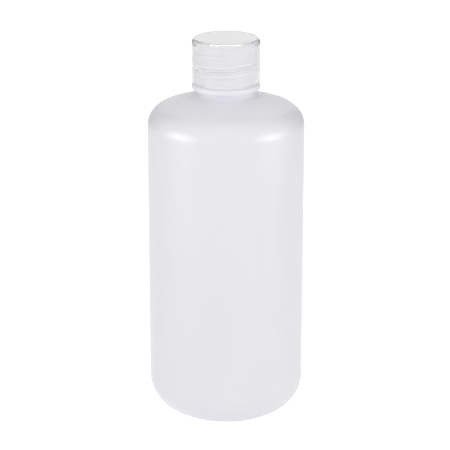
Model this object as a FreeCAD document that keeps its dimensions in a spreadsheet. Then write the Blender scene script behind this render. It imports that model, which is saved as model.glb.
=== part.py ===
import FreeCAD, Part
import os
import Sketcher
from FreeCAD import Placement, Rotation, Vector

# Narrow-mouth laboratory bottle, 500 mL, with a screw cap and its sealing disc.
# The origin is on the table, under the bottle's axis, and +Z runs up the axis.
# Lengths are in millimetres and angles in degrees.

SIZES = [
    # the blown body
    ("body_diameter", "73.0", "outside of the straight side"),
    ("body_wall", "1.2", "wall of body, shoulder, heel and base"),
    ("heel_radius", "16.0", "outside rounding from side to base"),
    ("standing_width", "2.5", "width of the flat ring that the bottle stands on"),
    ("push_up", "2.5", "rise of the recessed panel in the base"),
    ("recess_slope", "45.0", "slope of the step from the standing ring to the panel"),
    ("shoulder_radius", "10.0", "outside rounding from side to shoulder"),
    ("shoulder_slope", "18.0", "rise of the shoulder towards the neck"),
    # the neck
    ("neck_diameter", "26.4", "outside of the neck under the ring"),
    ("neck_root_radius", "3.2", "outside rounding from shoulder to neck"),
    ("neck_stem", "0.4", "straight neck between that rounding and the ring"),
    ("ring_height", "157.2", "underside of the neck ring above the table"),
    ("ring_diameter", "31.8", "outside of the neck ring"),
    ("ring_thickness", "2.2", "height of the neck ring"),
    ("ring_bevel", "0.5", "bevel of the neck ring's edges"),
    ("finish_wall", "1.75", "wall of the neck between the thread's turns"),
    ("finish_height", "19.0", "lip above the neck ring"),
    ("lip_bevel", "0.4", "bevel of the lip's edges"),
    # the thread, on the neck and in the cap
    ("thread_diameter", "27.4", "outside of the bottle's thread"),
    ("thread_height", "1.15", "height of the bottle's ridge over the neck's wall"),
    ("thread_pitch", "4.5", "rise in one turn"),
    ("thread_turns", "2.75", "turns of the bottle's thread"),
    ("thread_rise", "2.6", "middle of the first turn above the neck ring"),
    ("thread_crest", "1.0", "width of the ridge at its crest"),
    ("thread_flank", "20.0", "slope of the ridge's flanks"),
    ("thread_fade", "22.0", "turn in which a ridge's end rises to its full height"),
    ("thread_bury", "0.4", "depth of a ridge's foot inside its wall"),
    ("ramp_overhang", "1.0", "how far the cut of a ridge's end passes the crest"),
    ("ramp_lead", "0.5", "how far that cut starts behind the ridge's end"),
    ("ramp_skin", "0.05", "height that the cut leaves at the ridge's very end"),
    # the cap
    ("cap_wall", "1.95", "wall of the skirt between the thread's turns"),
    ("cap_top", "1.6", "thickness of the cap's flat top"),
    ("cap_shoulder", "2.0", "radius of the bend round the cap's upper edge"),
    ("cap_gap", "1.1", "skirt above the neck ring when the cap is tight"),
    ("cap_mouth", "0.5", "bevel at the mouth of the skirt"),
    ("cap_thread_crest", "0.8", "width of the cap's ridge at its crest"),
    ("cap_thread_turns", "1.5", "turns of the cap's thread"),
    ("radial_play", "0.3", "space between a crest and the wall that it faces"),
    ("flank_play", "0.2", "space between the two threads' flanks"),
    # the sealing disc
    ("disc_thickness", "0.9", "thickness of the sealing disc"),
    ("disc_play", "0.3", "space round the disc in the cap"),
    ("seat_play", "0.05", "space over and under the disc"),
]

# Levels and radii that several pieces or outlines share, worked out from the sizes
LEVELS = [
    ("finish_radius", "=sizes.thread_diameter / 2 - sizes.thread_height", "radius between the turns"),
    ("bore_radius", "=finish_radius - sizes.finish_wall", "radius of the mouth's bore"),
    ("stem_floor", "=sizes.ring_height - sizes.neck_stem", "lower end of the neck's straight stem"),
    ("rise_sine", "=sin(sizes.shoulder_slope * 1 deg)", "sine of the shoulder's slope"),
    ("rise_cosine", "=cos(sizes.shoulder_slope * 1 deg)", "cosine of the shoulder's slope"),
    (
        "foot_radius",
        "=sizes.neck_diameter / 2 + sizes.neck_root_radius * (1 - rise_sine)",
        "radius where the neck's root meets the slope",
    ),
    ("foot", "=stem_floor - sizes.neck_root_radius * rise_cosine", "level of that place"),
    (
        "brow_radius",
        "=sizes.body_diameter / 2 - sizes.shoulder_radius * (1 - rise_sine)",
        "radius where the slope meets the shoulder's rounding",
    ),
    ("brow", "=foot - (brow_radius - foot_radius) * rise_sine / rise_cosine", "level of that place"),
    ("side_top", "=brow - sizes.shoulder_radius * rise_cosine", "upper end of the straight side"),
    (
        "bore_floor",
        "=brow + (brow_radius - bore_radius) * rise_sine / rise_cosine"
        " - sizes.body_wall / rise_cosine",
        "lower end of the mouth's bore",
    ),
    ("ring_top", "=sizes.ring_height + sizes.ring_thickness", "top of the neck ring"),
    ("lip", "=ring_top + sizes.finish_height", "lip of the bottle"),
    ("disc_floor", "=lip + sizes.seat_play", "underside of the disc"),
    ("disc_roof", "=disc_floor + sizes.disc_thickness", "top of the disc"),
    ("cap_floor", "=ring_top + sizes.cap_gap", "lower edge of the skirt"),
    ("cap_roof", "=disc_roof + sizes.seat_play", "underside of the cap's top"),
    ("cap_peak", "=cap_roof + sizes.cap_top", "top of the cap"),
    ("cap_bore", "=sizes.thread_diameter / 2 + sizes.radial_play", "radius inside the skirt"),
    ("cap_crest", "=finish_radius + sizes.radial_play", "radius inside the cap's thread"),
    ("cap_radius", "=cap_bore + sizes.cap_wall", "radius outside the skirt"),
    ("first_turn", "=ring_top + sizes.thread_rise", "middle of the bottle's first turn"),
    (
        "flank_step",
        "=(sizes.thread_crest + sizes.cap_thread_crest) / 2"
        " + (sizes.thread_diameter / 2 - cap_crest) * tan(sizes.thread_flank * 1 deg)"
        " + sizes.flank_play",
        "drop from the bottle's turn to the cap's turn under it",
    ),
    ("cap_first_turn", "=first_turn + sizes.thread_pitch - flank_step", "middle of the cap's first turn"),
]

# Straight steps in each bend, so many that none leaves the true arc by more than about 0.1 mm
HEEL_STEPS = 10
INNER_HEEL_STEPS = 8
SHOULDER_STEPS = 6
INNER_SHOULDER_STEPS = 4
ROOT_STEPS = 4
CAP_SHOULDER_STEPS = 3

# How the sketches number their origin and the ends of an edge
ORIGIN = (-1, 1)
START, END = range(1, 3)

QUARTER_TURN = Rotation(Vector(0, 0, 1), 90)
NEAR = 1e-4

document = FreeCAD.newDocument("laboratory_bottle")


def make_sheet(name, rows):
    """Fill a sheet with one named cell and one note for each row."""
    sheet = document.addObject("Spreadsheet::Sheet", name)
    for number, (alias, content, note) in enumerate(rows, start=1):
        sheet.set("A%d" % number, content)
        sheet.setAlias("A%d" % number, alias)
        sheet.set("B%d" % number, "'" + note)
    document.recompute()
    return sheet


sizes = make_sheet("sizes", SIZES)
levels = make_sheet("levels", LEVELS)


def value(expression):
    """The number that an expression on the sheets gives now."""
    result = sizes.evalExpression(expression)
    return float(getattr(result, "Value", result))


def origin_plane(body, role):
    """A body's own origin plane or axis, by its role."""
    return next(item for item in body.Origin.OriginFeatures if item.Role == role)


def new_sketch(body, name, role):
    sketch = body.newObject("Sketcher::SketchObject", name)
    sketch.AttachmentSupport = [(origin_plane(body, role), "")]
    sketch.MapMode = "FlatFace"
    return sketch


def tie(sketch, name, kind, edge, expression):
    """Tie the start of an edge to the origin by a distance that follows the sheets."""
    distance = Sketcher.Constraint(kind, *ORIGIN, edge, START, value(expression))
    sketch.renameConstraint(sketch.addConstraint(distance), name)
    sketch.setExpression("Constraints." + name, expression)


def outline(body, name, role, corners):
    """A closed sketch of straight lines, each corner tied by its two coordinates."""
    sketch = new_sketch(body, name, role)
    places = [Vector(value(across), value(up), 0) for across, up in corners]
    for start, end in zip(places, places[1:] + places[:1]):
        sketch.addGeometry(Part.LineSegment(start, end))
    for edge, (across, up) in enumerate(corners):
        following = (edge + 1) % len(corners)
        sketch.addConstraint(Sketcher.Constraint("Coincident", edge, END, following, START))
        if across == "0":
            sketch.addConstraint(Sketcher.Constraint("Vertical", *ORIGIN, edge, START))
        else:
            tie(sketch, "across_%d" % edge, "DistanceX", edge, across)
        tie(sketch, "up_%d" % edge, "DistanceY", edge, up)
    return sketch


def bend(across, up, radius, first, last, steps):
    """Corners of a bend in equal steps round its middle, from one angle to another."""
    corners = []
    for step in range(steps + 1):
        angle = "(%s + (%s - (%s)) * %d / %d) * 1 deg" % (first, last, first, step, steps)
        corners.append((
            "%s + (%s) * cos(%s)" % (across, radius, angle),
            "%s + (%s) * sin(%s)" % (up, radius, angle),
        ))
    return corners


def revolve(body, name, sketch):
    """Turn a section once round the vertical axis."""
    document.recompute()
    turned = body.newObject("PartDesign::Revolution", name)
    turned.Profile = sketch
    turned.ReferenceAxis = (sketch, ["V_Axis"])
    turned.Angle = 360
    document.recompute()
    return turned


def rim_edges(feature, radius, level):
    """Names of the round edges of a given radius at a given level."""
    found = []
    for number, edge in enumerate(feature.Shape.Edges, start=1):
        if edge.Degenerated or not isinstance(edge.Curve, Part.Circle):
            continue
        curve = edge.Curve
        if abs(curve.Radius - radius) < NEAR and abs(curve.Center.z - level) < NEAR:
            found.append("Edge%d" % number)
    return found


def bevel_rims(body, name, feature, rims, expression):
    """Bevel the round edges given by radius and level."""
    edges = []
    for radius, level in rims:
        edges += rim_edges(feature, value(radius), value(level))
    bevel = body.newObject("PartDesign::Chamfer", name)
    bevel.Base = (feature, edges)
    bevel.setExpression("Size", expression)
    document.recompute()
    return bevel


def wind_ridge(body, name, section, turns):
    """Wind a thread's section up the axis, right-handed."""
    document.recompute()
    ridge = body.newObject("PartDesign::AdditiveHelix", name)
    ridge.Profile = section
    ridge.ReferenceAxis = (section, ["V_Axis"])
    ridge.Mode = "pitch-turns-angle"
    ridge.setExpression("Pitch", "sizes.thread_pitch")
    ridge.setExpression("Turns", turns)
    document.recompute()
    return ridge


def fade_end(body, name, corners, level, turn, depth):
    """Cut a flat ramp at one end of a ridge, in plan, and check that it cuts."""
    before = body.Shape.Volume
    ramp = outline(body, name + "_plan", "XY_Plane", corners)
    ramp.AttachmentOffset = Placement(Vector(0, 0, value(level)), QUARTER_TURN)
    ramp.setExpression("AttachmentOffset.Base.z", level)
    ramp.setExpression("AttachmentOffset.Rotation.Angle", turn)
    document.recompute()
    cut = body.newObject("PartDesign::Pocket", name)
    cut.Profile = ramp
    cut.SideType = "Symmetric"
    cut.setExpression("Length", depth)
    document.recompute()
    if not body.Shape.Volume < before:
        raise RuntimeError(name + " cuts nothing")
    return cut


def bottle_wall(body):
    """The bottle's wall in section, from the base round the outside and back inside."""
    heel_middle = "sizes.body_diameter / 2 - sizes.heel_radius"
    shoulder_middle = "sizes.body_diameter / 2 - sizes.shoulder_radius"
    root_middle = "sizes.neck_diameter / 2 + sizes.neck_root_radius"
    slope_turn = "90 - sizes.shoulder_slope"
    root_turn = "270 - sizes.shoulder_slope"
    stand = heel_middle + " - sizes.standing_width"
    panel = stand + " - sizes.push_up / tan(sizes.recess_slope * 1 deg)"
    shift = " + sizes.body_wall * tan(sizes.recess_slope / 2 * 1 deg)"

    base = [("0", "sizes.push_up"), (panel, "sizes.push_up"), (stand, "0")]
    heel = bend(heel_middle, "sizes.heel_radius", "sizes.heel_radius", "-90", "0", HEEL_STEPS)
    shoulder = bend(
        shoulder_middle, "levels.side_top", "sizes.shoulder_radius",
        "0", slope_turn, SHOULDER_STEPS,
    )
    root = bend(
        root_middle, "levels.stem_floor", "sizes.neck_root_radius",
        root_turn, "180", ROOT_STEPS,
    )
    neck = [
        ("sizes.neck_diameter / 2", "sizes.ring_height"),
        ("sizes.ring_diameter / 2", "sizes.ring_height"),
        ("sizes.ring_diameter / 2", "levels.ring_top"),
        ("levels.finish_radius", "levels.ring_top"),
        ("levels.finish_radius", "levels.lip"),
        ("levels.bore_radius", "levels.lip"),
        ("levels.bore_radius", "levels.bore_floor"),
    ]
    inner_shoulder = bend(
        shoulder_middle, "levels.side_top", "sizes.shoulder_radius - sizes.body_wall",
        slope_turn, "0", INNER_SHOULDER_STEPS,
    )
    inner_heel = bend(
        heel_middle, "sizes.heel_radius", "sizes.heel_radius - sizes.body_wall",
        "0", "-90", INNER_HEEL_STEPS,
    )
    inner_base = [
        (stand + shift, "sizes.body_wall"),
        (panel + shift, "sizes.push_up + sizes.body_wall"),
        ("0", "sizes.push_up + sizes.body_wall"),
    ]
    corners = base + heel + shoulder + root + neck + inner_shoulder + inner_heel + inner_base
    return outline(body, "wall_section", "XZ_Plane", corners)


def make_bottle():
    """The blown body with its neck ring, lip and thread."""
    body = document.addObject("PartDesign::Body", "bottle")
    wall = revolve(body, "wall", bottle_wall(body))

    ring_rims = [
        ("sizes.ring_diameter / 2", "sizes.ring_height"),
        ("sizes.ring_diameter / 2", "levels.ring_top"),
    ]
    wall = bevel_rims(body, "ring_edges", wall, ring_rims, "sizes.ring_bevel")
    lip_rims = [
        ("levels.finish_radius", "levels.lip"),
        ("levels.bore_radius", "levels.lip"),
    ]
    bevel_rims(body, "lip_edges", wall, lip_rims, "sizes.lip_bevel")

    foot = "levels.finish_radius - sizes.thread_bury"
    crest = "sizes.thread_diameter / 2"
    half_crest = "sizes.thread_crest / 2"
    half_foot = half_crest + " + (%s - (%s)) * tan(sizes.thread_flank * 1 deg)" % (crest, foot)
    section = outline(body, "thread_section", "XZ_Plane", [
        (foot, "levels.first_turn - (%s)" % half_foot),
        (crest, "levels.first_turn - " + half_crest),
        (crest, "levels.first_turn + " + half_crest),
        (foot, "levels.first_turn + " + half_foot),
    ])
    wind_ridge(body, "thread", section, "sizes.thread_turns")

    # the ramps lie in plan between the neck's skin and the crest
    skin = "levels.finish_radius + sizes.ramp_skin"
    outer = "sizes.thread_diameter / 2 + sizes.ramp_overhang"
    peak_x = "sizes.thread_diameter / 2 * cos(sizes.thread_fade * 1 deg)"
    peak_y = "sizes.thread_diameter / 2 * sin(sizes.thread_fade * 1 deg)"
    depth = "2 * (%s) + sizes.thread_pitch / 4" % half_foot
    lead = "sizes.ramp_lead"
    lower = [(skin, "-" + lead), (outer, "-" + lead), (outer, peak_y), (peak_x, peak_y)]
    upper = [(skin, lead), (peak_x, "-" + peak_y), (outer, "-" + peak_y), (outer, lead)]
    last_turn = "levels.first_turn + sizes.thread_pitch * sizes.thread_turns"
    end_turn = "mod(sizes.thread_turns, 1) * 360 deg"
    fade_end(body, "thread_start", lower, "levels.first_turn", "0 deg", depth)
    fade_end(body, "thread_end", upper, last_turn, end_turn, depth)
    return body


def cap_wall(body):
    """The cap's wall in section, from the top round the skirt and back inside."""
    corners = [("0", "levels.cap_peak")]
    corners += bend(
        "levels.cap_radius - sizes.cap_shoulder", "levels.cap_peak - sizes.cap_shoulder",
        "sizes.cap_shoulder", "90", "0", CAP_SHOULDER_STEPS,
    )
    corners += [
        ("levels.cap_radius", "levels.cap_floor"),
        ("levels.cap_bore + sizes.cap_mouth", "levels.cap_floor"),
        ("levels.cap_bore", "levels.cap_floor + sizes.cap_mouth"),
        ("levels.cap_bore", "levels.cap_roof"),
        ("0", "levels.cap_roof"),
    ]
    return outline(body, "cap_section", "XZ_Plane", corners)


def make_cap():
    """The moulded cap with its inside thread."""
    body = document.addObject("PartDesign::Body", "screw_cap")
    revolve(body, "cap_wall", cap_wall(body))

    foot = "levels.cap_bore + sizes.thread_bury"
    crest = "levels.cap_crest"
    half_crest = "sizes.cap_thread_crest / 2"
    half_foot = half_crest + " + (%s - %s) * tan(sizes.thread_flank * 1 deg)" % (foot, crest)
    section = outline(body, "cap_thread_section", "XZ_Plane", [
        (crest, "levels.cap_first_turn - " + half_crest),
        (foot, "levels.cap_first_turn - (%s)" % half_foot),
        (foot, "levels.cap_first_turn + " + half_foot),
        (crest, "levels.cap_first_turn + " + half_crest),
    ])
    wind_ridge(body, "cap_thread", section, "sizes.cap_thread_turns")

    # the ramps lie in plan between the crest and the skirt's bore
    skin = "levels.cap_bore - sizes.ramp_skin"
    inner = "levels.cap_crest * cos(sizes.thread_fade * 1 deg) - sizes.ramp_overhang"
    peak_x = "levels.cap_crest * cos(sizes.thread_fade * 1 deg)"
    peak_y = "levels.cap_crest * sin(sizes.thread_fade * 1 deg)"
    depth = "2 * (%s) + sizes.thread_pitch / 4" % half_foot
    lead = "sizes.ramp_lead"
    lower = [(inner, "-" + lead), (skin, "-" + lead), (peak_x, peak_y), (inner, peak_y)]
    upper = [(inner, "-" + peak_y), (peak_x, "-" + peak_y), (skin, lead), (inner, lead)]
    last_turn = "levels.cap_first_turn + sizes.thread_pitch * sizes.cap_thread_turns"
    end_turn = "mod(sizes.cap_thread_turns, 1) * 360 deg"
    fade_end(body, "cap_thread_start", lower, "levels.cap_first_turn", "0 deg", depth)
    fade_end(body, "cap_thread_end", upper, last_turn, end_turn, depth)
    return body


def make_disc():
    """The flat sealing disc between the lip and the cap's top."""
    disc = document.addObject("Part::Cylinder", "cap_liner")
    disc.setExpression("Radius", "levels.cap_bore - sizes.disc_play")
    disc.setExpression("Height", "sizes.disc_thickness")
    disc.setExpression("Placement.Base.z", "levels.disc_floor")
    return disc


pieces = [make_bottle(), make_cap(), make_disc()]
for piece in pieces:
    piece.Label = piece.Name
document.recompute()

for item in document.Objects:
    if "Invalid" in item.State or "Error" in item.State:
        raise RuntimeError("%s failed: %s" % (item.Name, item.State))
for piece in pieces:
    if piece.Shape.isNull() or not piece.Shape.isValid() or len(piece.Shape.Solids) != 1:
        raise RuntimeError(piece.Name + " is not one sound solid")

os.makedirs("parts", exist_ok=True)
for piece in pieces:
    piece.Shape.exportStep("parts/%s.step" % piece.Label)
    print(piece.Label, "volume %.0f mm3" % piece.Shape.Volume, piece.Shape.BoundBox)
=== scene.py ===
import math

import bpy
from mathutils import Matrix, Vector


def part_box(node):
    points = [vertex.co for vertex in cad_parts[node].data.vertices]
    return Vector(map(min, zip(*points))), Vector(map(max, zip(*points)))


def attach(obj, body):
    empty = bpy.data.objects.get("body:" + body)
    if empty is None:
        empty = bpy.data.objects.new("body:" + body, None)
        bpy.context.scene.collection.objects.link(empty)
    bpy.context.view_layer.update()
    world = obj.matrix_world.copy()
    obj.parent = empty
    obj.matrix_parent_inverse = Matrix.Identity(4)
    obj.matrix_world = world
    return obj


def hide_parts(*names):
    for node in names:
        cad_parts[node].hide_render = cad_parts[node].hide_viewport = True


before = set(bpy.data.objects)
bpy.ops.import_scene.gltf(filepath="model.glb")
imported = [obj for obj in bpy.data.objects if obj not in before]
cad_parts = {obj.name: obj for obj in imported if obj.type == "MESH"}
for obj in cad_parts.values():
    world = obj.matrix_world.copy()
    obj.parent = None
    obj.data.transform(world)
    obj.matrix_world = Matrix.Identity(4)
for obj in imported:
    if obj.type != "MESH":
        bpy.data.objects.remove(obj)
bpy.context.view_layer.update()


def node_box(node):
    """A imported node's lowest and highest corner, to a thousandth of a millimetre."""
    return [[round(value, 6) for value in corner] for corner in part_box(node)]


BOTTLE_HIGH = node_box("bottle")[1]
CAP_LOW, CAP_HIGH = node_box("screw_cap")
LINER_LOW, LINER_HIGH = node_box("cap_liner")

# Sizes in metres: the outsides come from the frame, the rest repeats the part's own sizes

# The body
BODY_RADIUS = BOTTLE_HIGH[0]
BODY_WALL = 0.0012
HEEL_RADIUS = 0.016
STAND_WIDTH = 0.0025
PANEL_RISE = 0.0025
SHOULDER_RADIUS = 0.010
SHOULDER_SLOPE = 18

# The neck, its ring and the finish above the ring
LIP = BOTTLE_HIGH[2]
FINISH_HEIGHT = 0.019
FINISH_WALL = 0.00175
RING_THICKNESS = 0.0022
RING_RADIUS = 0.0159
NECK_STEM = 0.0004
NECK_RADIUS = 0.0132
ROOT_RADIUS = 0.0032

# The thread, on the neck and in the cap
THREAD_PITCH = 0.0045
THREAD_CREST = 0.0137
THREAD_HEIGHT = 0.00115
THREAD_RISE = 0.0026
THREAD_PLAY = 0.0003
FLANK_STEP = 0.00139
RIDGE_BURY = 0.0004

# The turn in degrees in which a ridge reaches its full size, and its size at the very end
FADE_TURN = 28
FADE_SHARE = 0.3

# The cap
CAP_RADIUS = CAP_HIGH[0]
CAP_FLOOR = CAP_LOW[2]
CAP_PEAK = CAP_HIGH[2]
CAP_TOP = 0.0016
CAP_SHOULDER = 0.0020

# The liner, which reaches a little into the cap's roof, so that it shows white through it
LINER_RADIUS = LINER_HIGH[0]
LINER_FLOOR = LINER_LOW[2]
LINER_REACH = 0.00001

# Levels and radii that follow from these
RING_TOP = LIP - FINISH_HEIGHT
RING_FLOOR = RING_TOP - RING_THICKNESS
STEM_FLOOR = RING_FLOOR - NECK_STEM
FINISH_RADIUS = THREAD_CREST - THREAD_HEIGHT
BORE_RADIUS = FINISH_RADIUS - FINISH_WALL
THREAD_START = RING_TOP + THREAD_RISE
CAP_THREAD_START = THREAD_START + THREAD_PITCH - FLANK_STEP
CAP_BORE = THREAD_CREST + THREAD_PLAY
CAP_ROOF = CAP_PEAK - CAP_TOP
LINER_ROOF = CAP_ROOF + LINER_REACH

# Radii of the small roundings
STEP_TOP_BEND = 0.0010
STEP_FOOT_BEND = 0.0008
UNDER_RING_BEND = 0.0004
RING_EDGE = 0.0006
FINISH_FOOT = 0.0005
LIP_EDGE = 0.0005
MOUTH_EDGE = 0.0004
BORE_END_BEND = 0.0012
SKIRT_EDGE = 0.0003
SKIRT_MOUTH = 0.0004
ROOF_CORNER = 0.0003
LINER_EDGE = 0.0002

# Places of a few rings: middles of the step's bends, and ends of the straight stretches
STEP_TOP_INSET = 0.0009
STEP_FOOT_INSET = 0.0006
SIDE_HOLD = 0.0015
BORE_HOLD = 0.0010
SKIRT_HOLD = 0.0007
ROOF_HOLD = 0.0004

# The line on the base where the mould squeezed the tube shut, a bar half sunk in the panel
PINCH_LENGTH = 0.0263
PINCH_WIDTH = 0.0009
PINCH_HEIGHT = 0.0008
PINCH_RELIEF = 0.0003

# The fineness of the meshes, with the smallest ring beside the axis, the distance under which
# two points count as one, and the angle in degrees over which a corner stays sharp
SEGMENTS = 192
STEPS_A_TURN = 96
POLE = 0.0004
SLIVER = 0.00001
SMOOTH_ANGLE = 40


def bend(across, up, radius, first, last, steps):
    """Rings along a bend round its middle, from one angle in degrees to another."""
    rings = []
    for step in range(steps + 1):
        angle = math.radians(first + (last - first) * step / steps)
        rings.append((across + radius * math.cos(angle), up + radius * math.sin(angle)))
    return rings


def straight(start, end, steps):
    """Rings between two places, without the places themselves."""
    rings = []
    for step in range(1, steps):
        share = step / steps
        rings.append((
            start[0] + (end[0] - start[0]) * share,
            start[1] + (end[1] - start[1]) * share,
        ))
    return rings


def just_added(name):
    """The object that the last operator added, under its own name."""
    added = bpy.context.object
    added.name = added.data.name = name
    return added


def take_up(piece):
    """Select one piece alone."""
    bpy.ops.object.select_all(action="DESELECT")
    piece.select_set(True)
    bpy.context.view_layer.objects.active = piece


def pick(piece, wanted):
    """Select the points whose place is wanted, and nothing else, in edit mode."""
    bpy.ops.object.mode_set(mode="EDIT")
    bpy.ops.mesh.select_mode(type="VERT")
    bpy.ops.mesh.select_all(action="DESELECT")
    bpy.ops.object.mode_set(mode="OBJECT")
    for vertex in piece.data.vertices:
        vertex.select = wanted(vertex.co)
    bpy.ops.object.mode_set(mode="EDIT")


def face_outwards():
    """Point all faces of the piece in edit mode outwards, and leave edit mode."""
    bpy.ops.mesh.select_all(action="SELECT")
    bpy.ops.mesh.normals_make_consistent(inside=False)
    bpy.ops.object.mode_set(mode="OBJECT")


def turn_up(name, rings):
    """Pull one ring of points through all the rings of a section, and close both poles."""
    bpy.ops.object.select_all(action="DESELECT")
    first_radius, height = rings[0]
    bpy.ops.mesh.primitive_circle_add(
        vertices=SEGMENTS, radius=first_radius, location=(0, 0, height)
    )
    piece = just_added(name)
    bpy.ops.object.transform_apply(location=True, rotation=True, scale=True)
    bpy.ops.object.mode_set(mode="EDIT")
    bpy.ops.mesh.select_mode(type="VERT")
    bpy.ops.mesh.select_all(action="SELECT")
    bpy.ops.mesh.extrude_region_move()
    bpy.ops.mesh.merge(type="CENTER")
    pick(piece, lambda place: place.xy.length > first_radius / 2)
    for (radius, height), (next_radius, next_height) in zip(rings, rings[1:]):
        bpy.ops.mesh.extrude_region_move(
            TRANSFORM_OT_translate={"value": (0, 0, next_height - height)}
        )
        if next_radius != radius:
            growth = next_radius / radius
            bpy.ops.transform.resize(
                value=(growth, growth, 1), center_override=(0, 0, next_height)
            )
    bpy.ops.mesh.extrude_region_move()
    bpy.ops.mesh.merge(type="CENTER")
    face_outwards()
    return piece


def ridge_section(name, foot, crest, start, half_foot, half_crest, rounding):
    """A thread's ridge cut across: wide at its foot, with the crest's corners rounded off."""
    def near_crest(place):
        return abs(place.x - crest) < abs(place.x - foot)

    bpy.ops.object.select_all(action="DESELECT")
    bpy.ops.mesh.primitive_plane_add(size=1, rotation=(math.pi / 2, 0, 0))
    ridge = just_added(name)
    ridge.scale = (abs(crest - foot), 2 * half_crest, 1)
    ridge.location = ((crest + foot) / 2, 0, start)
    bpy.ops.object.transform_apply(location=True, rotation=True, scale=True)
    pick(ridge, lambda place: not near_crest(place))
    bpy.ops.transform.resize(
        value=(1, 1, half_foot / half_crest), center_override=(foot, 0, start)
    )
    pick(ridge, near_crest)
    bpy.ops.mesh.bevel(offset=rounding, segments=3, affect="VERTICES")
    return ridge


def wind_ridge(name, foot, crest, start, turns, half_foot, half_crest, rounding):
    """A thread's ridge: its section, pulled along the turns, thin at both ends."""
    steps = round(turns * STEPS_A_TURN)
    fade = round(STEPS_A_TURN * FADE_TURN / 360)
    turn = 2 * math.pi / STEPS_A_TURN
    rise = THREAD_PITCH / STEPS_A_TURN

    def size_at(step):
        reach = min(step, steps - step, fade) / fade
        return FADE_SHARE + (1 - FADE_SHARE) * math.sin(reach * math.pi / 2)

    ridge = ridge_section(name, foot, crest, start, half_foot, half_crest, rounding)
    bpy.ops.mesh.select_all(action="SELECT")
    bpy.ops.transform.resize(value=(size_at(0),) * 3, center_override=(foot, 0, start))
    for step in range(1, steps + 1):
        bpy.ops.mesh.extrude_region_move(TRANSFORM_OT_translate={"value": (0, 0, rise)})
        # without a window this operator turns the other way
        bpy.ops.transform.rotate(value=-turn, orient_axis="Z", center_override=(0, 0, 0))
        growth = size_at(step) / size_at(step - 1)
        if growth != 1:
            angle = turn * step
            place = (foot * math.cos(angle), foot * math.sin(angle), start + rise * step)
            bpy.ops.transform.resize(value=(growth,) * 3, center_override=place)
    face_outwards()
    return ridge


def weld(piece, addition):
    """Make a piece and what is added to it one closed mesh, without slivers."""
    take_up(piece)
    union = piece.modifiers.new("union", "BOOLEAN")
    union.operation = "UNION"
    union.solver = "EXACT"
    union.object = addition
    bpy.ops.object.modifier_apply(modifier=union.name)
    bpy.data.objects.remove(addition)
    bpy.ops.object.mode_set(mode="EDIT")
    bpy.ops.mesh.select_all(action="SELECT")
    bpy.ops.mesh.remove_doubles(threshold=SLIVER)
    face_outwards()


def smooth(piece):
    """Shade the bends round, and keep the sharp corners."""
    take_up(piece)
    bpy.ops.object.shade_smooth_by_angle(angle=math.radians(SMOOTH_ANGLE))


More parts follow.
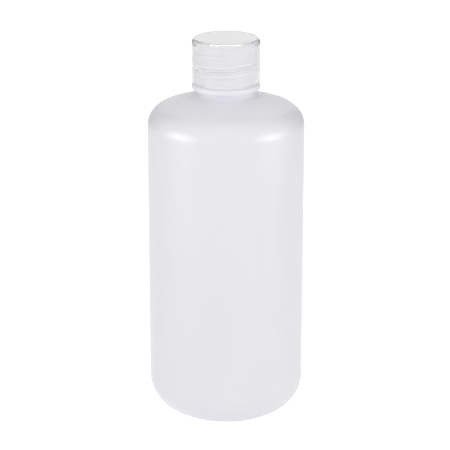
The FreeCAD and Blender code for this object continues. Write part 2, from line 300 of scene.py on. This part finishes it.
def bottle_rings():
    """The bottle's wall in section: base, outside, neck, lip, and back down the inside."""
    slope = math.radians(SHOULDER_SLOPE)
    sine, cosine, rise = math.sin(slope), math.cos(slope), math.tan(slope)
    heel_middle = BODY_RADIUS - HEEL_RADIUS
    shoulder_middle = BODY_RADIUS - SHOULDER_RADIUS
    foot_radius = NECK_RADIUS + ROOT_RADIUS * (1 - sine)
    foot = STEM_FLOOR - ROOT_RADIUS * cosine
    brow_radius = BODY_RADIUS - SHOULDER_RADIUS * (1 - sine)
    brow = foot - (brow_radius - foot_radius) * rise
    side_top = brow - SHOULDER_RADIUS * cosine
    inner_brow_radius = brow_radius - BODY_WALL * sine
    inner_brow = brow - BODY_WALL * cosine
    bore_floor = inner_brow + (inner_brow_radius - BORE_RADIUS) * rise
    stand = heel_middle - STAND_WIDTH
    panel = stand - PANEL_RISE

    # the base, from the recessed panel out to the ring that it stands on
    rings = [(POLE, PANEL_RISE)]
    rings += straight(rings[-1], (panel - STEP_TOP_BEND, PANEL_RISE), 8)
    rings += bend(panel - STEP_TOP_INSET, PANEL_RISE - STEP_TOP_BEND, STEP_TOP_BEND, 90, 45, 4)
    rings += bend(stand + STEP_FOOT_INSET, STEP_FOOT_BEND, STEP_FOOT_BEND, 225, 270, 4)
    rings += straight(rings[-1], (heel_middle, 0), 3)

    # heel, side and shoulder
    rings += bend(heel_middle, HEEL_RADIUS, HEEL_RADIUS, -90, 0, 28)
    rings += [(BODY_RADIUS, HEEL_RADIUS + SIDE_HOLD)]
    rings += straight(rings[-1], (BODY_RADIUS, side_top - SIDE_HOLD), 16)
    rings += [(BODY_RADIUS, side_top - SIDE_HOLD)]
    rings += bend(shoulder_middle, side_top, SHOULDER_RADIUS, 0, 90 - SHOULDER_SLOPE, 20)
    rings += straight((brow_radius, brow), (foot_radius, foot), 8)

    # neck, ring, the wall that carries the thread, and the lip
    rings += bend(
        NECK_RADIUS + ROOT_RADIUS, STEM_FLOOR, ROOT_RADIUS, 270 - SHOULDER_SLOPE, 180, 12
    )
    rings += bend(
        NECK_RADIUS + UNDER_RING_BEND, RING_FLOOR - UNDER_RING_BEND, UNDER_RING_BEND, 180, 90, 3
    )
    rings += bend(RING_RADIUS - RING_EDGE, RING_FLOOR + RING_EDGE, RING_EDGE, -90, 0, 5)
    rings += bend(RING_RADIUS - RING_EDGE, RING_TOP - RING_EDGE, RING_EDGE, 0, 90, 5)
    rings += bend(FINISH_RADIUS + FINISH_FOOT, RING_TOP + FINISH_FOOT, FINISH_FOOT, 270, 180, 4)
    rings += straight(rings[-1], (FINISH_RADIUS, LIP - LIP_EDGE), 22)
    rings += bend(FINISH_RADIUS - LIP_EDGE, LIP - LIP_EDGE, LIP_EDGE, 0, 90, 5)
    rings += bend(BORE_RADIUS + MOUTH_EDGE, LIP - MOUTH_EDGE, MOUTH_EDGE, 90, 180, 4)

    # back inside: bore, shoulder, side, heel and base
    rings += straight(rings[-1], (BORE_RADIUS, bore_floor + BORE_HOLD), 10)
    rings += bend(
        BORE_RADIUS + BORE_END_BEND, bore_floor + BORE_END_BEND / 2, BORE_END_BEND, 180, 250, 6
    )
    rings += straight(rings[-1], (inner_brow_radius, inner_brow), 8)
    rings += bend(
        shoulder_middle, side_top, SHOULDER_RADIUS - BODY_WALL, 90 - SHOULDER_SLOPE, 0, 14
    )
    rings += straight(rings[-1], (BODY_RADIUS - BODY_WALL, HEEL_RADIUS), 10)
    rings += bend(heel_middle, HEEL_RADIUS, HEEL_RADIUS - BODY_WALL, 0, -90, 18)
    rings += [(stand + STEP_FOOT_INSET, BODY_WALL), (panel, PANEL_RISE + BODY_WALL)]
    rings += straight(rings[-1], (POLE, PANEL_RISE + BODY_WALL), 5)
    rings += [(POLE, PANEL_RISE + BODY_WALL)]
    return rings


def pinch_off():
    """The short raised line that the mould leaves where it squeezes the tube shut."""
    bpy.ops.object.select_all(action="DESELECT")
    middle = PANEL_RISE - PINCH_RELIEF + PINCH_HEIGHT / 2
    bpy.ops.mesh.primitive_cube_add(size=1, location=(0, 0, middle))
    line = just_added("pinch_off")
    line.scale = (PINCH_LENGTH, PINCH_WIDTH, PINCH_HEIGHT)
    bpy.ops.object.transform_apply(location=True, rotation=True, scale=True)
    bpy.ops.object.mode_set(mode="EDIT")
    bpy.ops.mesh.select_all(action="SELECT")
    bpy.ops.mesh.bevel(offset=PINCH_WIDTH / 4, segments=3, affect="EDGES")
    bpy.ops.object.mode_set(mode="OBJECT")
    return line


def blow_bottle():
    """The bottle with its thread and its pinch-off line."""
    bottle = turn_up("blown_bottle", bottle_rings())
    weld(bottle, wind_ridge(
        "neck_thread", foot=FINISH_RADIUS - RIDGE_BURY, crest=THREAD_CREST,
        start=THREAD_START, turns=2.75, half_foot=0.00106, half_crest=0.0005, rounding=0.0003,
    ))
    weld(bottle, pinch_off())
    smooth(bottle)
    return bottle


def cap_rings():
    """The cap's wall in section: top, skirt, mouth, and back up the inside."""
    rings = [(POLE, CAP_PEAK)]
    rings += straight(rings[-1], (CAP_RADIUS - CAP_SHOULDER, CAP_PEAK), 8)
    rings += bend(CAP_RADIUS - CAP_SHOULDER, CAP_PEAK - CAP_SHOULDER, CAP_SHOULDER, 90, 0, 12)
    rings += straight(rings[-1], (CAP_RADIUS, CAP_FLOOR + SKIRT_EDGE), 16)
    rings += bend(CAP_RADIUS - SKIRT_EDGE, CAP_FLOOR + SKIRT_EDGE, SKIRT_EDGE, 0, -90, 4)
    rings += bend(CAP_BORE + SKIRT_MOUTH, CAP_FLOOR + SKIRT_MOUTH, SKIRT_MOUTH, 270, 185, 4)
    rings += [(CAP_BORE, CAP_FLOOR + SKIRT_HOLD)]
    rings += straight(rings[-1], (CAP_BORE, CAP_ROOF - ROOF_HOLD), 20)
    rings += bend(CAP_BORE - ROOF_CORNER, CAP_ROOF - ROOF_CORNER, ROOF_CORNER, 0, 90, 3)
    rings += straight(rings[-1], (POLE, CAP_ROOF), 8)
    rings += [(POLE, CAP_ROOF)]
    return rings


def mould_cap():
    """The cap with its inside thread."""
    cap = turn_up("moulded_cap", cap_rings())
    weld(cap, wind_ridge(
        "cap_thread", foot=CAP_BORE + RIDGE_BURY, crest=FINISH_RADIUS + THREAD_PLAY,
        start=CAP_THREAD_START, turns=1.5, half_foot=0.00096, half_crest=0.0004, rounding=0.00025,
    ))
    smooth(cap)
    return cap


def liner_rings():
    """The liner in section: underside, rim and top."""
    rings = [(POLE, LINER_FLOOR)]
    rings += straight(rings[-1], (LINER_RADIUS - LINER_EDGE, LINER_FLOOR), 5)
    rings += bend(LINER_RADIUS - LINER_EDGE, LINER_FLOOR + LINER_EDGE, LINER_EDGE, -90, 0, 3)
    rings += bend(LINER_RADIUS - LINER_EDGE, LINER_ROOF - LINER_EDGE, LINER_EDGE, 0, 90, 3)
    rings += straight(rings[-1], (POLE, LINER_ROOF), 5)
    rings += [(POLE, LINER_ROOF)]
    return rings


def punch_liner():
    """The flat sealing disc."""
    liner = turn_up("punched_liner", liner_rings())
    smooth(liner)
    return liner


def node(tree, kind, output, inputs, **settings):
    """Add a node, set or link its inputs, and return the output that is used."""
    added = tree.nodes.new("ShaderNode" + kind)
    for setting, value in settings.items():
        setattr(added, setting, value)
    for socket, value in inputs.items():
        if isinstance(value, bpy.types.NodeSocket):
            tree.links.new(value, added.inputs[socket])
        else:
            added.inputs[socket].default_value = value
    return added.outputs[output]


def new_material(name, surface):
    """A material whose surface is what a function builds in its tree."""
    material = bpy.data.materials.new(name)
    material.use_nodes = True
    tree = material.node_tree
    tree.nodes.clear()
    output = tree.nodes.new("ShaderNodeOutputMaterial")
    tree.links.new(surface(tree), output.inputs["Surface"])
    return material


def spots(tree, stretch, scale, detail):
    """Soft random spots in the piece's own metres, stretched along each axis."""
    place = node(tree, "TexCoord", "Object", {})
    stretched = node(tree, "Mapping", "Vector", {"Vector": place, "Scale": stretch})
    return node(tree, "TexNoise", "Fac", {"Vector": stretched, "Scale": scale, "Detail": detail})


def along(tree, coordinates, axis):
    """One axis of a set of coordinates."""
    place = node(tree, "TexCoord", coordinates, {})
    return node(tree, "SeparateXYZ", axis, {"Vector": place})


def ranged(tree, source, low, high, start=0.3, end=0.7, **settings):
    """From low to high while the source runs from start to end, where most spots lie."""
    inputs = {"Value": source, "From Min": start, "From Max": end, "To Min": low, "To Max": high}
    return node(tree, "MapRange", "Result", inputs, **settings)


def blended(tree, share, low, high):
    """A colour between two colours."""
    return node(tree, "Mix", "Result", {"Factor": share, "A": low, "B": high}, data_type="RGBA")


def clouded(tree, source, low, high):
    """A colour that wanders between two others with the spots."""
    return blended(tree, ranged(tree, source, 0, 1), (*low, 1), (*high, 1))


def parting_line(tree):
    """A fine line down both sides, where the mould's halves meet."""
    side = along(tree, "Object", "Y")
    off = node(tree, "Math", "Value", {0: side}, operation="ABSOLUTE")
    return ranged(tree, off, 1, 0, start=0, end=0.0003, interpolation_type="SMOOTHSTEP")


def relief(tree, height, distance, under=None):
    """Raise the surface by a distance where the height is full, on top of another relief."""
    inputs = {"Height": height, "Distance": distance}
    if under:
        inputs["Normal"] = under
    return node(tree, "Bump", "Normal", inputs)


def milky_plastic(tree):
    """The blown wall: milky and satin, duller on the neck, and a little darker there with painted
    shade.
    """
    cloud = spots(tree, (1, 1, 0.35), 45, 2)
    lines = spots(tree, (1, 1, 0.02), 420, 2)
    grain = spots(tree, (1, 1, 1), 900, 3)
    skin_colour = clouded(tree, cloud, (0.850, 0.838, 0.892), (0.874, 0.862, 0.916))
    # painted shade: the neck and its ring get a darker colour that holds down the extra light
    # they catch
    shaded_neck_colour = clouded(tree, cloud, (0.804, 0.794, 0.836), (0.826, 0.815, 0.860))
    height = along(tree, "Object", "Z")
    neck = ranged(tree, height, 0, 1, start=STEM_FLOOR - 2 * ROOT_RADIUS, end=STEM_FLOOR)
    satin = ranged(tree, cloud, 0.31, 0.37)
    duller = node(tree, "Math", "Value", {0: neck, 1: 0.2, 2: satin}, operation="MULTIPLY_ADD")
    skin = relief(tree, lines, 0.00002, under=relief(tree, grain, 0.00002))
    return node(tree, "BsdfPrincipled", "BSDF", {
        "Base Color": blended(tree, neck, skin_colour, shaded_neck_colour),
        "Roughness": duller,
        "Normal": relief(tree, parting_line(tree), 0.00005, under=skin),
        "IOR": 1.5,
        "Subsurface Weight": 0.8,
        "Subsurface Radius": (0.0018, 0.0018, 0.0018),
        "Subsurface Scale": 1,
    })


def clear_plastic(tree):
    """The moulded cap: clear, slightly hazy inside and glossy outside."""
    cloud = spots(tree, (1, 1, 1), 120, 2)
    grain = spots(tree, (1, 1, 1), 700, 2)
    return node(tree, "BsdfPrincipled", "BSDF", {
        "Base Color": clouded(tree, cloud, (0.845, 0.845, 0.85), (0.865, 0.865, 0.87)),
        "Roughness": ranged(tree, cloud, 0.15, 0.20),
        "Normal": relief(tree, grain, 0.000008),
        "IOR": 1.4,
        "Transmission Weight": 0.8,
        "Coat Weight": 1,
        "Coat Roughness": 0.03,
    })


def liner_plastic(tree):
    """The soft white liner."""
    grain = spots(tree, (1, 1, 1), 1500, 2)
    return node(tree, "BsdfPrincipled", "BSDF", {
        "Base Color": clouded(tree, grain, (0.855, 0.85, 0.88), (0.875, 0.87, 0.90)),
        "Roughness": ranged(tree, grain, 0.25, 0.35),
        "Normal": relief(tree, grain, 0.00001),
        "IOR": 1.45,
    })


def seen_directly(tree, seen, unseen):
    """One strength for camera, glossy and transmission rays and another for the rest."""
    path = tree.nodes.new("ShaderNodeLightPath")
    mirrored = node(
        tree, "Math", "Value",
        {0: path.outputs["Is Camera Ray"], 1: path.outputs["Is Glossy Ray"]},
        operation="MAXIMUM",
    )
    direct = node(
        tree, "Math", "Value",
        {0: mirrored, 1: path.outputs["Is Transmission Ray"]},
        operation="MAXIMUM",
    )
    return ranged(tree, direct, unseen, seen, start=0, end=1)


def floor_paint(tree):
    """White where nothing shades it, and a little darker under the bottle."""
    matt = node(tree, "BsdfDiffuse", "BSDF", {"Color": (0.95, 0.95, 0.95, 1)})
    glow = node(tree, "Emission", "Emission", {
        "Color": (1, 1, 1, 1), "Strength": seen_directly(tree, 0.6, 0),
    })
    return node(tree, "AddShader", "Shader", {0: matt, 1: glow})


def lay_floor():
    """The white floor, wide enough to fill the picture."""
    bpy.ops.object.select_all(action="DESELECT")
    bpy.ops.mesh.primitive_plane_add(size=6)
    floor = just_added("floor")
    floor.data.materials.append(new_material("floor_paint", floor_paint))


def light_tent(horizon, zenith):
    """A white room, whose light on matt surfaces falls from the horizon to straight above."""
    world = bpy.data.worlds.new("studio")
    bpy.context.scene.world = world
    world.use_nodes = True
    tree = world.node_tree
    fall = ranged(tree, along(tree, "Generated", "Z"), horizon, zenith, start=0, end=1)
    sky = tree.nodes["Background"]
    sky.inputs["Color"].default_value = (1, 1, 1, 1)
    tree.links.new(seen_directly(tree, 1, fall), sky.inputs["Strength"])


def look_at(thing, middle, azimuth, elevation, distance):
    """Put a lamp or the camera round a middle, in degrees, and turn it to that middle."""
    turn, lift = math.radians(azimuth), math.radians(elevation)
    back = Vector((
        math.sin(turn) * math.cos(lift), -math.cos(turn) * math.cos(lift), math.sin(lift)
    ))
    thing.location = Vector(middle) + back * distance
    thing.rotation_euler = (-back).to_track_quat("-Z", "Y").to_euler()


def soft_lamp(name, azimuth, elevation, distance, width, height, power):
    """A large flat lamp that looks at the middle of the bottle."""
    bpy.ops.object.light_add(type="AREA")
    lamp = just_added(name)
    lamp.data.shape = "RECTANGLE"
    lamp.data.size, lamp.data.size_y = width, height
    lamp.data.energy = power
    look_at(lamp, (0, 0, 0.09), azimuth, elevation, distance)
    lamp.visible_transmission = False
    return lamp


def shine_on(piece, lamp):
    """Let a lamp put its reflection on one piece, and do nothing else."""
    lamp.visible_diffuse = False
    lamp.light_linking.receiver_collection = bpy.data.collections.new(lamp.name + "_on")
    lamp.light_linking.receiver_collection.objects.link(piece)


def flag(name, azimuth, distance, width, height, paint):
    """A dark board behind the bottle, out of the picture, that darkens its edges."""
    bpy.ops.object.select_all(action="DESELECT")
    turn = math.radians(azimuth)
    place = (distance * math.sin(turn), -distance * math.cos(turn), height / 2)
    bpy.ops.mesh.primitive_plane_add(size=1, location=place, rotation=(math.pi / 2, 0, turn))
    board = just_added(name)
    board.scale = (width, height, 1)
    bpy.ops.object.transform_apply(location=True, rotation=True, scale=True)
    board.data.materials.append(paint)
    board.visible_camera = board.visible_transmission = False


def dark_paint():
    """The paint of the two boards."""
    paint = bpy.data.materials.new("flag_paint")
    paint.use_nodes = True
    shader = paint.node_tree.nodes["Principled BSDF"]
    shader.inputs["Base Color"].default_value = (0.04, 0.04, 0.04, 1)
    return paint


def set_camera():
    """The photo's camera, by the fit of the bottle's outline."""
    camera_data = bpy.data.cameras.new("camera")
    camera_data.lens = 158.6
    camera_data.sensor_width = 36
    camera = bpy.data.objects.new("camera", camera_data)
    bpy.context.collection.objects.link(camera)
    look_at(camera, (-0.00047, 0, 0.09039), azimuth=0, elevation=18.32, distance=0.9363)
    bpy.context.scene.camera = camera
    bpy.context.scene.view_settings.view_transform = "Standard"


# The bottle, its cap and its liner
bottle = blow_bottle()
cap = mould_cap()
liner = punch_liner()
for piece, body, solid, slot, finish in (
    (bottle, "bottle", "bottle", "milky_plastic", milky_plastic),
    (liner, "liner_carrier", "cap_liner", "liner_plastic", liner_plastic),
    (cap, "cap", "screw_cap", "clear_plastic", clear_plastic),
):
    piece.data.materials.clear()
    piece.data.materials.append(new_material(slot, finish))
    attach(piece, body)
    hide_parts(solid)

# the clear cap doesn't shade the neck inside it
cap.visible_shadow = cap.visible_diffuse = False

# The studio
lay_floor()
light_tent(horizon=0.90, zenith=0.77)
for side, where in ((-1, "left"), (1, "right")):
    fill = soft_lamp(
        where + "_fill", azimuth=50 * side, elevation=14, distance=1.2,
        width=0.9, height=0.5, power=1.9,
    )
    fill.visible_glossy = False
    shine_on(bottle, soft_lamp(
        where + "_shine", azimuth=68 * side, elevation=7, distance=0.9,
        width=0.6, height=0.4, power=5.0,
    ))
shine_on(cap, soft_lamp(
    "top_shine", azimuth=0, elevation=88, distance=1.0, width=1.1, height=0.15, power=20.0,
))

paint = dark_paint()
for side, where in ((-1, "left"), (1, "right")):
    flag(
        where + "_flag", azimuth=180 + 46 * side, distance=0.8,
        width=0.75, height=1.0, paint=paint,
    )
set_camera()

# light inside the cap's clear wall turns many times before it leaves
light_paths = bpy.context.scene.cycles
light_paths.max_bounces = 24
light_paths.glossy_bounces = 16
light_paths.transmission_bounces = 20
light_paths.diffuse_bounces = 6
